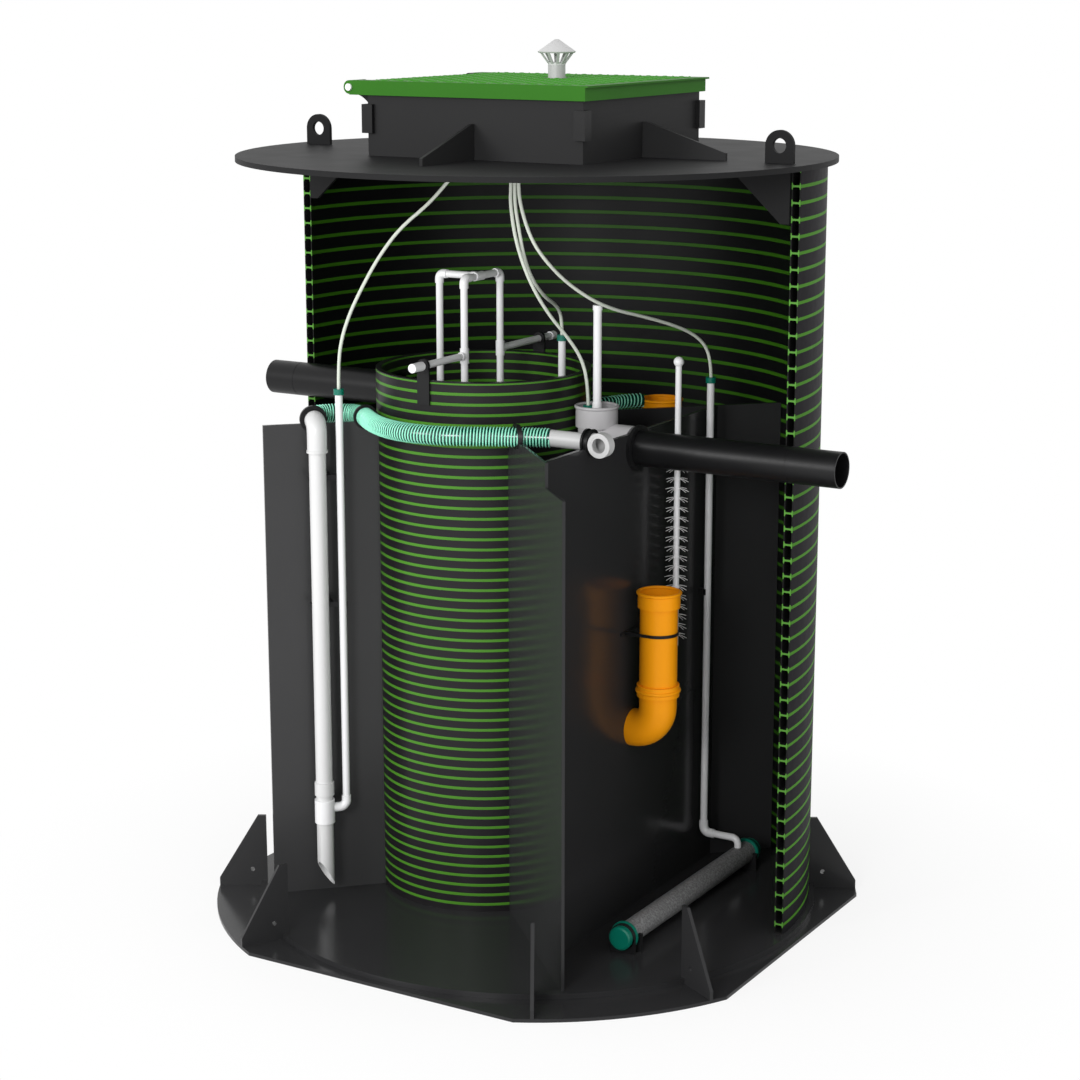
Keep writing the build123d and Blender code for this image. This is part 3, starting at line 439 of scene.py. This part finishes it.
# %% Ends of the diffuser
diffuser_x = 492.0 * mm
diffuser_z = 72.0 * mm
diffuser_ends = ((-357.0 * mm, 1), (466.0 * mm, -1))
floor_top = 25.0 * mm
cap_r = 34.5 * mm
dome_r = 29.0 * mm
dome_thick = 5.0 * mm
dome_out = 12.5 * mm
cap_thick = 18.0 * mm
cap_out = 2.0 * mm
flange_r = 42.0 * mm
flange_thick = 7.0 * mm
flange_in = 18.5 * mm
holder_half = 38.0 * mm
holder_thick = 12.0 * mm
holder_in = 9.0 * mm
along_y = Matrix.Rotation(math.pi / 2, 4, "X")


def disc(mesh, y, r_front, r_back, thick):
    bmesh.ops.create_cone(mesh, cap_ends=True, segments=48, radius1=r_back, radius2=r_front, depth=thick,
                          matrix=Matrix.Translation((diffuser_x, y, diffuser_z)) @ along_y)


caps_mesh = bmesh.new()
holder_mesh = bmesh.new()
for end, inward in diffuser_ends:
    front, back = (dome_r, cap_r) if inward > 0 else (cap_r, dome_r)
    disc(caps_mesh, end - inward * dome_out, front, back, dome_thick)
    disc(caps_mesh, end - inward * cap_out, cap_r, cap_r, cap_thick)
    disc(caps_mesh, end + inward * flange_in, flange_r, flange_r, flange_thick)
    holder_y = end + inward * holder_in
    disc(holder_mesh, holder_y, holder_half, holder_half, holder_thick)
    leg = (Matrix.Translation((diffuser_x, holder_y, (floor_top + diffuser_z) / 2))
           @ Matrix.Diagonal((2 * holder_half, holder_thick, diffuser_z - floor_top, 1)))
    bmesh.ops.create_cube(holder_mesh, size=1.0, matrix=leg)
finish_piece("diffuser_ends", caps_mesh, [finishes["teal_plastic"]],
             instead_of=["diffuser_caps"])
finish_piece("diffuser_holders", holder_mesh, [finishes["black_plastic"]])

# %% [markdown]
# A socket on a drain pipe has a rolled lip where its rubber ring sits. Each lip is a small circle spun
# round the pipe's axis. The discharge pipe's mouth has a plain outer sleeve.

# %% Socket lips and the sleeve at the mouth
lips = (("return_lip", (428.0, -33.0, 1001.0), 61.5, 4.8, "orange_plastic"),
        ("return_bead", (428.0, -33.0, 711.0), 61.0, 5.5, "orange_plastic"),
        ("rear_lip", (178.0, 442.0, 1471.0), 61.5, 4.8, "orange_plastic"),
        ("cup_lip", (213.0, -22.0, 1522.5), 60.5, 4.5, "grey_plastic"))
mouth_at = Vector((386.0, -319.5, 1472.0)) * mm
mouth_r = 34.5 * mm
mouth_long = 30.0 * mm
mouth_wall = 8.5 * mm

for name, centre, r, thick, slot in lips:
    lip_mesh = bmesh.new()
    ring = bmesh.ops.create_circle(lip_mesh, segments=12, radius=thick * mm,
                                   matrix=Matrix.Translation((r * mm, 0, 0)) @ along_y)
    bmesh.ops.spin(lip_mesh, geom=ring["verts"] + lip_mesh.edges[:], axis=(0, 0, 1), angle=2 * math.pi,
                   steps=56, use_merge=True)
    bmesh.ops.translate(lip_mesh, verts=lip_mesh.verts, vec=Vector(centre) * mm)
    bmesh.ops.recalc_face_normals(lip_mesh, faces=lip_mesh.faces)
    finish_piece(name, lip_mesh, [finishes[slot]])

sleeve_mesh = bmesh.new()
bmesh.ops.create_circle(sleeve_mesh, segments=48, radius=mouth_r,
                        matrix=Matrix.Translation(mouth_at) @ along_y)
mouth_ring = bmesh.ops.extrude_edge_only(sleeve_mesh, edges=sleeve_mesh.edges[:])
back_verts = [item for item in mouth_ring["geom"] if isinstance(item, bmesh.types.BMVert)]
bmesh.ops.translate(sleeve_mesh, verts=back_verts, vec=(0, mouth_long, 0))
bmesh.ops.recalc_face_normals(sleeve_mesh, faces=sleeve_mesh.faces)
bmesh.ops.solidify(sleeve_mesh, geom=sleeve_mesh.faces[:], thickness=mouth_wall)
finish_piece("discharge_mouth", sleeve_mesh, [pale_grey])

# %% [markdown]
# The vent's cowl is a shallow cone held over the pipe by a crown of flat blades. Each blade is a thin
# box leaned outwards, and a loop turns it round the pipe.

# %% Vent cowl
vent_x = 17.0 * mm
vent_y = 82.0 * mm
roof = (2533.0, 55.0, 6.0, 34.0, 56)
roof_rim = (2514.0, 52.0, 55.0, 4.0, 56)
foot_ring = (2482.0, 25.5, 25.5, 8.0, 40)
blade_count = 10
blade_z = 2498.0 * mm
blade_out = 36.0 * mm
blade_lean = math.radians(37.7)
blade_size = (3.0 * mm, 8.0 * mm, 43.0 * mm, 1)
cowl_mesh = bmesh.new()
for middle_z, low_r, high_r, tall, sides in (roof, roof_rim, foot_ring):
    bmesh.ops.create_cone(cowl_mesh, cap_ends=True, segments=sides, radius1=low_r * mm, radius2=high_r * mm,
                          depth=tall * mm, matrix=Matrix.Translation((vent_x, vent_y, middle_z * mm)))
for blade in range(blade_count):
    turn = 2 * math.pi * (blade + 0.5) / blade_count
    place = (Matrix.Translation((vent_x, vent_y, blade_z)) @ Matrix.Rotation(turn, 4, "Z")
             @ Matrix.Translation((blade_out, 0, 0)) @ Matrix.Rotation(blade_lean, 4, "Y")
             @ Matrix.Diagonal(blade_size))
    bmesh.ops.create_cube(cowl_mesh, size=1.0, matrix=place)
finish_piece("vent_cowl.shaped", cowl_mesh, [pale_grey], "lid", ["vent_cowl"])

# %% [markdown]
# The cut through the wall shows the profile's cells as black squares with round corners, their insides
# painted near-black as shade, and the green webs between them, painted a lighter green on the cut as
# lit, flare where they meet the skins. The section is drawn once, with its cells left out, and spun half
# way round the tank's axis.

# %% Section of the wall
wall_low, wall_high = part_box("wall_segment_2")
wall_outer = 826.8 * mm
wall_inner = 800.0 * mm
skin = 3.0 * mm
web = 5.0 * mm
turn_pitch = 45.113 * mm
first_web = (2218.0 - 44.6) * mm
corner = 4.5 * mm
corner_points = 12
spin_steps = 72
skin_ring = 4.5 * mm
inside_ring = 5.2 * mm
cut_ring = 9.0 * mm
cut_face = 0.1 * mm
inner_near = 1.0 * mm
same_place = 0.001 * mm
wall_top = wall_high[2]
wall_foot = wall_low[2]


def rounded_cell(mesh, x0, x1, z0, z1):
    turned = along_y @ Matrix.Rotation(math.pi / corner_points, 4, "Z")
    ring = bmesh.ops.create_circle(mesh, segments=corner_points, radius=corner, matrix=turned)
    for vert in ring["verts"]:
        vert.co.x += (x1 - corner) if vert.co.x > 0 else (x0 + corner)
        vert.co.z += (z1 - corner) if vert.co.z > 0 else (z0 + corner)


def wall_section():
    mesh = bmesh.new()
    levels = [wall_top]
    top = wall_top - skin
    turn = 0
    while top > wall_foot + 2 * corner:
        low = max(first_web - turn * turn_pitch + web / 2, wall_foot + skin)
        if top - low > 2 * corner:
            rounded_cell(mesh, wall_inner + skin, wall_outer - skin, low, top)
        top = low - web
        turn += 1
        if top > wall_foot + skin:
            levels.append(low - web / 2)
    levels.append(wall_foot)
    frame_verts = [mesh.verts.new((wall_inner, 0, z)) for z in levels]
    frame_verts += [mesh.verts.new((wall_outer, 0, z)) for z in reversed(levels)]
    for first, second in zip(frame_verts, frame_verts[1:] + frame_verts[:1]):
        mesh.edges.new((first, second))
    return mesh, levels


def rung(mesh, rim_verts, z):
    ends = [vert for vert in rim_verts if abs(vert.co.z - z) < same_place]
    return mesh.edges.get(ends) or mesh.edges.new(ends)


# %% Spin the section and close its cut ends
wall_mesh, wall_levels = wall_section()
bmesh.ops.spin(wall_mesh, geom=wall_mesh.verts[:] + wall_mesh.edges[:], axis=(0, 0, 1), angle=math.pi,
               steps=spin_steps)
for side in (-1, 1):
    rim = [edge for edge in wall_mesh.edges
           if all(abs(vert.co.y) < same_place and vert.co.x * side > 0 for vert in edge.verts)]
    rim_verts = {vert for edge in rim for vert in edge.verts}
    rungs = [rung(wall_mesh, rim_verts, z) for z in wall_levels]
    for step, (high, low) in enumerate(zip(wall_levels, wall_levels[1:])):
        around = {edge for edge in rim
                  if all(low - same_place < vert.co.z < high + same_place for vert in edge.verts)}
        around |= {rungs[step], rungs[step + 1]}
        bmesh.ops.triangle_fill(wall_mesh, edges=list(around), use_beauty=True, normal=(0, 1, 0))
bmesh.ops.remove_doubles(wall_mesh, verts=wall_mesh.verts, dist=weld)
bmesh.ops.recalc_face_normals(wall_mesh, faces=wall_mesh.faces)

# %% Wound tank wall
for face in wall_mesh.faces:
    middle = face.calc_center_median()
    reach = math.hypot(middle.x, middle.y)
    between_skins = wall_inner + inner_near < reach < wall_outer - inner_near
    between_ends = wall_foot + inner_near < middle.z < wall_top - inner_near
    if abs(middle.y) < cut_face:
        face.material_index = 1
    # Faces inside the hollow cells are painted near-black as shade.
    elif between_skins and between_ends:
        face.material_index = 2
    # The inside face takes darker copies of the skin's colours as painted shade.
    elif reach < wall_inner + inner_near:
        face.material_index = 3
    else:
        face.material_index = 0
wall_skin = wound("wall winding", skin_black, web_green, first_web, turn_pitch, skin_ring,
                  rough=0.4, groove=0.0012, shine=0.03)
# The inside of the wall is the same profile as the outside, painted darker as shade.
wall_inside_painted_shade = wound("wall inside in painted shade", inside_black_painted_shade, inside_green_painted_shade, first_web, turn_pitch, inside_ring)
# On the cut face the webs are painted a lighter green as light; the black is the profile's own.
wall_cut = wound("wall cut", cut_black, cut_green_painted_lit, first_web, turn_pitch, cut_ring,
                 rough=0.4, groove=0.0001, shine=0.1)
# Painted shade: the insides of the cells are near-black, darker than the profile itself.
cell_inside_painted_shade = plastic("cells in painted shade", (0.004, 0.004, 0.004), 0.6)
segments = ["wall_segment_" + str(number) for number in (1, 2, 3, 4)]
wall = finish_piece("wound_wall", wall_mesh, [wall_skin, wall_cut, cell_inside_painted_shade, wall_inside_painted_shade],
                    instead_of=segments)

# %% [markdown]
# The drains pass through the wall at its two cut ends, so their holes are cut with two rods, one
# Boolean for each.

# %% Holes for the drains
drain_y = -22.0 * mm
drain_r = 51.0 * mm
drain_heights = ((-1, 1515.0 * mm), (1, 1414.0 * mm))
drill_long = 100.0 * mm


def drill(piece, x, y, z, r, long):
    mesh = bmesh.new()
    bmesh.ops.create_cone(mesh, cap_ends=True, segments=48, radius1=r, radius2=r, depth=long,
                          matrix=Matrix.Translation((x, y, z)) @ Matrix.Rotation(math.pi / 2, 4, "Y"))
    data = bpy.data.meshes.new("drill")
    mesh.to_mesh(data)
    mesh.free()
    bit = bpy.data.objects.new("drill", data)
    bpy.context.scene.collection.objects.link(bit)
    cut = piece.modifiers.new("hole", "BOOLEAN")
    cut.operation = "DIFFERENCE"
    cut.object = bit
    cut.solver = "EXACT"
    depsgraph = bpy.context.evaluated_depsgraph_get()
    drilled = bpy.data.meshes.new_from_object(piece.evaluated_get(depsgraph))
    piece.modifiers.clear()
    piece.data = drilled
    bpy.data.objects.remove(bit)


for side, height in drain_heights:
    drill(wall, side * (wall_inner + wall_outer) / 2, drain_y, height, drain_r, drill_long)
print("wall faces", len(wall.data.polygons))

# %% [markdown]
# The ribbed hoses are clear plastic with a stiff spiral cast in. The body is a smooth dark tube along
# the hose's line, and the spiral is a thin round wire wound round it by a loop.

# %% Lines and tubes
def line_points(name, route):
    curve = bpy.data.curves.new(name, "CURVE")
    curve.dimensions = "3D"
    curve.resolution_u = 16
    spline = curve.splines.new("NURBS")
    spline.points.add(len(route) - 1)
    for point, place in zip(spline.points, route):
        point.co = (*[value * mm for value in place], 1.0)
    spline.order_u = 3
    spline.use_endpoint_u = True
    holder = bpy.data.objects.new(name, curve)
    bpy.context.scene.collection.objects.link(holder)
    bpy.context.view_layer.update()
    mesh = bpy.data.meshes.new_from_object(holder)
    points = [vert.co.copy() for vert in mesh.vertices]
    bpy.data.objects.remove(holder)
    bpy.data.meshes.remove(mesh)
    return points


def tube_mesh(lines, r, sides):
    curve = bpy.data.curves.new("sweep", "CURVE")
    curve.dimensions = "3D"
    curve.bevel_depth = r
    curve.bevel_resolution = sides
    curve.use_fill_caps = True
    for points in lines:
        spline = curve.splines.new("POLY")
        spline.points.add(len(points) - 1)
        for point, place in zip(spline.points, points):
            point.co = (*place, 1.0)
    holder = bpy.data.objects.new("sweep", curve)
    bpy.context.scene.collection.objects.link(holder)
    bpy.context.view_layer.update()
    data = bpy.data.meshes.new_from_object(holder)
    bpy.data.objects.remove(holder)
    mesh = bmesh.new()
    mesh.from_mesh(data)
    bpy.data.meshes.remove(data)
    return mesh


def helix_round(points, r, pitch, per_turn=14):
    spiral = []
    walked = 0.0
    step = pitch / per_turn
    for first, second in zip(points, points[1:]):
        run = second - first
        ahead = run.normalized()
        side = ahead.cross(Vector((0, 0, 1))).normalized()
        up = side.cross(ahead)
        along = -walked % step
        while along < run.length:
            turn = 2 * math.pi * (walked + along) / pitch
            spiral.append(first + ahead * along + side * (r * math.cos(turn)) + up * (r * math.sin(turn)))
            along += step
        walked += run.length
    return spiral


# %% Spiral-ribbed hoses
hose_clear = plastic("hose body", (0.0, 0.045, 0.03), 0.2, grain=90.0, Coat_Weight=0.3)
hose_rib = plastic("hose spiral", (0.36, 0.95, 0.70), 0.3, spread=0.04)


def ribbed_hose(node, route, r, pitch, wire):
    points = line_points(node, route)
    finish_piece(node + ".body", tube_mesh([points], r - wire * 1.4, 5), [hose_clear],
                 instead_of=[node])
    spiral = helix_round(points, r - wire, pitch)
    finish_piece(node + ".spiral", tube_mesh([spiral], wire, 1), [hose_rib])
    print(node, "length", round(sum((b - a).length for a, b in zip(points, points[1:])), 3))


# %% Routes of the ribbed hoses
partition_offset = 148.5


def on_partition(along, off):
    return (-partition_offset / 2 + (along + off) * slant_share,
            partition_offset / 2 + (along - off) * slant_share)


hose_z = 1472.0
sludge_flat = [on_partition(-644.0, -16.0), on_partition(-644.0, -84.0), on_partition(-490.0, -84.0),
               on_partition(-490.0, 125.0), (-200.0, -425.0), (-60.0, -415.0), (95.0, -325.0),
               (214.0, -284.0)]
ribbed_hose("sludge_hose", [(x, y, hose_z) for x, y in sludge_flat], 28.5 * mm, 9.0 * mm, 2.0 * mm)
rear_route = [(32.6, 222.7), (71.0, 268.0), (94.0, 345.0), (137.3, 395.0)]
ribbed_hose("rear_hose", [(x, y, hose_z) for x, y in rear_route], 22.0 * mm, 12.0 * mm, 1.8 * mm)

# %% [markdown]
# The top of the lid has raised lozenges against slipping, turned crosswise to each other like tread
# plate. Each is a flat cone with ten sides, stretched long, and loops set them out in rows.

# %% Grip pattern on the lid
lid_low, lid_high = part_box("hatch_lid")
lid_top = 2441.0 * mm
grip_pitch = 27.0 * mm
grip_margin = 24.0 * mm
grip_long = 15.0 * mm
grip_wide = 4.6 * mm
grip_rise = 2.8 * mm
grip_top = 0.3
grip_left = -358.0 * mm
vent_clear = 42.0 * mm
grip_mesh = bmesh.new()
x_first = grip_left + grip_margin
columns = int((lid_high[0] - grip_margin - x_first) / grip_pitch) + 1
rows = int((lid_high[1] - lid_low[1] - 2 * grip_margin) / grip_pitch) + 1
for column in range(columns):
    for row in range(rows):
        x = x_first + column * grip_pitch
        y = lid_low[1] + grip_margin + row * grip_pitch
        if math.hypot(x - vent_x, y - vent_y) < vent_clear:
            continue
        turn = math.radians(45 if (column + row) % 2 else -45)
        place = (Matrix.Translation((x, y, lid_top + grip_rise / 2)) @ Matrix.Rotation(turn, 4, "Z")
                 @ Matrix.Diagonal((grip_long, grip_wide, 1, 1)))
        bmesh.ops.create_cone(grip_mesh, cap_ends=True, segments=10, radius1=1.0, radius2=grip_top,
                              depth=grip_rise, matrix=place)
# The lozenges are the lid's own moulding, painted a lighter green as the light on their raised tops.
grip_finish = plastic("raised green, painted lit", grip_green_painted_lit, 0.45, Specular_IOR_Level=0.08)
finish_piece("lid_grip", grip_mesh, [grip_finish], "lid", smooth=False)

# %% [markdown]
# The brush is a white stem with rows of thin hairs that droop a little towards their tips. In a row they
# stand in pairs to four sides, and each row is turned a little against the one above. Each hair is a
# short line given a round thickness.

# %% Brush hairs
brush_low, brush_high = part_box("brush_bristles")
brush_x = (brush_low[0] + brush_high[0]) / 2
brush_y = (brush_low[1] + brush_high[1]) / 2
hair_r = (brush_high[0] - brush_low[0]) / 2
hair_rows = 18
hair_aims = (65.8, 85.8, 155.8, 175.8, 245.8, 265.8, 335.8, 355.8)
hair_drop = 8.0 * mm
hair_root = 8.0 * mm
hair_thick = 0.9 * mm
hair_steps = (hair_root, 0.5 * hair_r, 0.78 * hair_r, hair_r)
row_turn = 4.0
end_gap = 1.0 * mm
row_gap = (brush_high[2] - brush_low[2] - hair_drop - 2 * end_gap) / (hair_rows - 1)
hair_lines = []
for row in range(hair_rows):
    height = brush_high[2] - end_gap - row * row_gap
    for aim in hair_aims:
        turn = math.radians(aim + row_turn * (row % 3 - 1))
        hair_lines.append([Vector((brush_x + r * math.cos(turn), brush_y + r * math.sin(turn),
                                   height - hair_drop * (r / hair_r) ** 2)) for r in hair_steps])
hair_mesh = tube_mesh(hair_lines, hair_thick, 0)
bristle_white = plastic("brush hair", (0.9, 0.9, 0.9), 0.5, spread=0.05)
finish_piece("brush_hairs", hair_mesh, [bristle_white], instead_of=["brush_bristles"])

# %% [markdown]
# The diffuser's skin is a rubber sleeve with a fine pricked grain that lets the air out as small
# bubbles. Close round pits make its bump, and the hollows are painted a little darker as shade.

# %% Pricked sleeve of the diffuser
sleeve = Finish("pricked sleeve", (0.3, 0.3, 0.3), 0.6)
pits = sleeve.node("ShaderNodeTexVoronoi", {"feature": "F1"}, sleeve.place, Scale=160.0)
# Painted shade: the sleeve's colour darkens towards the middle of each pit.
sleeve.send("Base Color", sleeve.mix(pits, (0.08, 0.08, 0.082), (0.26, 0.26, 0.26)))
sleeve.bump(pits, 0.001, 0.8)
smooth_copy("diffuser_tube", sleeve.material)

# %% [markdown]
# Four pale air hoses hang from the manifold inside the neck and end in clips on the air tubes. They are
# free cords, so each is one smooth spline through the route that the solid has.

# %% Routes of the air hoses
air_hose_d = 10.0 * mm
air_routes = {
    "air_hose_pump": [
        (-55, -285, 2262), (-57, -285, 2232), (-117, -286, 2169), (-172, -301, 2105),
        (-255, -325, 2035), (-315, -342, 1955), (-362, -356, 1872), (-405, -368, 1785),
        (-432, -376, 1700), (-439, -378, 1620), (-439.1, -378.3, 1560),
    ],
    "air_hose_cup": [
        (88, -285, 2262), (88, -285, 2172), (82, -282, 2114), (91, -264, 2000),
        (111, -218, 1884), (130, -146, 1790), (152, -80, 1722), (173, -36, 1655),
        (181, -18, 1580), (182, -17, 1514),
    ],
    "air_hose_column": [
        (99, -285, 2262), (99, -285, 2172), (96, -279, 2114), (99, -264, 2045),
        (97, -232, 1960), (80, -158, 1890), (55, -50, 1830), (34, 45, 1797),
        (22, 95, 1768), (20, 110, 1728), (20, 110, 1690),
    ],
    "air_hose_zone": [
        (110, -285, 2262), (110, -285, 2173), (113, -280, 2114), (133, -262, 2026),
        (157, -225, 1960), (185, -134, 1880), (244, -30, 1809), (287, 154, 1762),
        (337, 288, 1716), (364, 360, 1668), (373, 385, 1605), (373, 385, 1555),
    ],
}
print("air hoses", len(air_routes))

# %% Air hoses
for name, route in air_routes.items():
    points = line_points(name, route)
    curve = bpy.data.curves.new(name, "CURVE")
    curve.dimensions = "3D"
    curve.bevel_depth = air_hose_d / 2
    curve.bevel_resolution = 4
    curve.resolution_u = 12
    curve.use_fill_caps = True
    spline = curve.splines.new("NURBS")
    spline.points.add(len(route) - 1)
    for point, place in zip(spline.points, route):
        point.co = (*[value * mm for value in place], 1.0)
    spline.order_u = 3
    spline.use_endpoint_u = True
    curve.materials.append(finishes["air_hose"])
    cord = bpy.data.objects.new(name + ".cord", curve)
    bpy.context.scene.collection.objects.link(cord)
    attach(cord, "root")
    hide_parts(name)

# %% [markdown]
# The photograph has a plain white ground, so the floor is pale and the world is white to the camera and
# to mirrors. The light on the object is softer: a slightly dimmer sky, a broad lamp from the front left,
# and another from beside the camera.

# %% Floor
floor_r = 30.0
fade_start = 1.0
fade_end = 1.8
fade_share = 0.8
floor_mesh = bmesh.new()
bmesh.ops.create_circle(floor_mesh, cap_ends=True, segments=96, radius=floor_r)
floor_data = bpy.data.meshes.new("floor")
floor_mesh.to_mesh(floor_data)
floor_mesh.free()
floor = bpy.data.objects.new("floor", floor_data)
bpy.context.scene.collection.objects.link(floor)
ground = Finish("floor", (0.9, 0.9, 0.9), 0.9)
path = ground.node("ShaderNodeLightPath", out="Is Camera Ray")
glow = ground.node("ShaderNodeEmission", None, Color=(1, 1, 1, 1), Strength=1.0)
away = ground.node("ShaderNodeVectorMath", {"operation": "LENGTH"}, ground.place, out="Value")
far = ground.node("ShaderNodeMapRange", None, away, fade_start, fade_end, fade_share, 1.0)
lit = Wire(ground, ground.shader.outputs[0])
blended = ground.node("ShaderNodeMixShader", None, far * path, lit, glow)
ground.tree.links.new(blended.socket, ground.tree.nodes["Material Output"].inputs["Surface"])
floor_data.materials.append(ground.material)

# %% Sky
sky_light = 0.85
sky_seen = 1.0
world = bpy.data.worlds.new("sky")
bpy.context.scene.world = world
world.use_nodes = True
sky = Board(world.node_tree)
kinds = ("Is Camera Ray", "Is Glossy Ray", "Is Transmission Ray")
camera_ray, glossy_ray, clear_ray = (sky.node("ShaderNodeLightPath", out=kind) for kind in kinds)
bounced = glossy_ray.maths("MAXIMUM", glossy_ray, clear_ray)
seen = camera_ray.maths("MAXIMUM", camera_ray, bounced)
strength = sky.node("ShaderNodeMapRange", None, seen, 0.0, 1.0, sky_light, sky_seen)
back = sky.tree.nodes["Background"]
back.inputs["Color"].default_value = (1, 1, 1, 1)
sky.tree.links.new(strength.socket, back.inputs["Strength"])


# %% Lamps
def lamp(name, place, aim, size, power):
    data = bpy.data.lights.new(name, "AREA")
    data.shape = "DISK"
    data.size = size
    data.energy = power
    thing = bpy.data.objects.new(name, data)
    thing.location = place
    thing.rotation_euler = (Vector(aim) - Vector(place)).to_track_quat("-Z", "Y").to_euler()
    bpy.context.scene.collection.objects.link(thing)


middle_of_plant = (0, 0, 1.2)
lamp("front left", (-2.4, -6.0, 3.6), middle_of_plant, 2.4, 130)
lamp("by the camera", (1.2, -7.2, 3.4), middle_of_plant, 2.0, 195)
